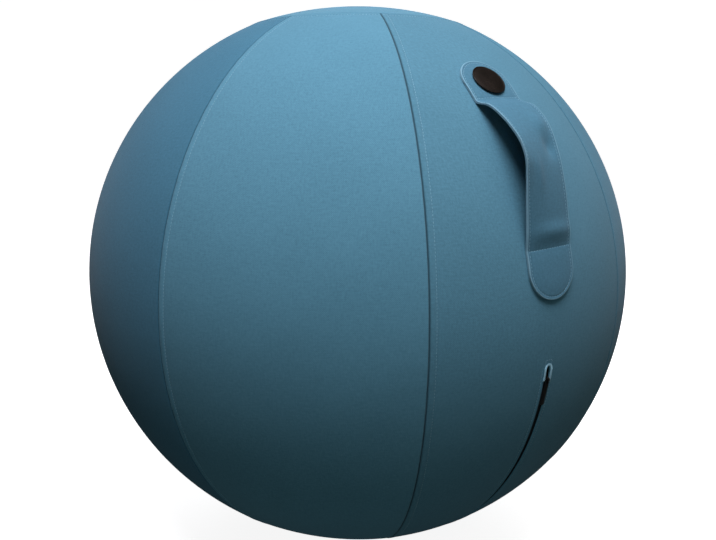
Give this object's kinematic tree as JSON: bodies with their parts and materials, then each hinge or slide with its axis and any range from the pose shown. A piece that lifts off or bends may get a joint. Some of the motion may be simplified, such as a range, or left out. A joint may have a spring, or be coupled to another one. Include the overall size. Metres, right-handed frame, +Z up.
{
  "type": "balance ball chair",
  "caption": "Inflated seating ball in a sewn panelled fabric cover with round end panels, a carry strap and a zip that lets the inner ball out.",
  "frame": {"origin": "on the floor straight under the middle of the ball, at the centre of the flat contact patch", "axes": "+Z up; -Y towards the front, where the handle and the zip lie on one meridian; +X to the right as seen from the front"},
  "size_m": [0.6498, 0.6515, 0.6413],
  "materials": {
    "cover_fabric": "blue-grey melange weave, matt",
    "strap_fabric": "the cover's weave, folded and topstitched",
    "thread": "twisted sewing thread, a shade darker than the cover",
    "badge_enamel": "plain black-brown enamel",
    "rivet_metal": "plain steel",
    "zip_tape": "black woven tape",
    "zip_coil": "black nylon coil",
    "zip_metal": "black lacquer",
    "bladder_vinyl": "soft vinyl, slightly glossy",
    "valve_plastic": "white"
  },
  "bodies": {
    "cover": {"gore_front": "cover_fabric", "gore_front_right": "cover_fabric", "gore_right": "cover_fabric", "gore_back_right": "cover_fabric", "gore_back": "cover_fabric", "gore_back_left": "cover_fabric", "gore_left": "cover_fabric", "gore_front_left": "cover_fabric", "top_cap": "cover_fabric", "base_panel": "cover_fabric", "seam_topstitching": "thread", "handle_upper": "strap_fabric", "handle_lower": "strap_fabric", "handle_upper_lining": "strap_fabric", "handle_lower_lining": "strap_fabric", "handle_end_stitching": "thread", "badge_cap": "badge_enamel", "badge_rivet": "rivet_metal", "zip_tape_right": "zip_tape", "zip_tape_left": "zip_tape", "zip_coil_right": "zip_coil", "zip_coil_left": "zip_coil", "zip_top_stops": "zip_metal", "zip_bottom_stop": "zip_metal", "zip_garage": "cover_fabric", "zip_stitching": "thread", "bladder": "bladder_vinyl", "valve_seat": "bladder_vinyl", "valve_plug": "valve_plastic"},
    "handle": {"handle_grip": "strap_fabric", "handle_grip_lining": "strap_fabric"},
    "slider": {"zip_slider": "zip_metal"},
    "pull": {"zip_pull": "zip_metal"}
  },
  "joints": [
    {"name": "handle_lift", "type": "slide", "parent": "cover", "child": "handle", "axis": [0, -0.8616, 0.5075], "range_m": [-0.005, 0.006], "stiffness_N_per_m": 400, "deforming": ["handle_upper", "handle_upper_lining", "handle_lower", "handle_lower_lining"]},
    {"name": "zip_slide", "type": "hinge", "parent": "cover", "child": "slider", "pos_m": [0, 0, 0.32031], "axis": [1, 0, 0], "range_deg": [0, 51]},
    {"name": "zip_pull_swing", "type": "hinge", "parent": "slider", "child": "pull", "pos_m": [0, -0.32322, 0.27489], "axis": [-1, 0, 0], "range_deg": [0, 150]}
  ]
}
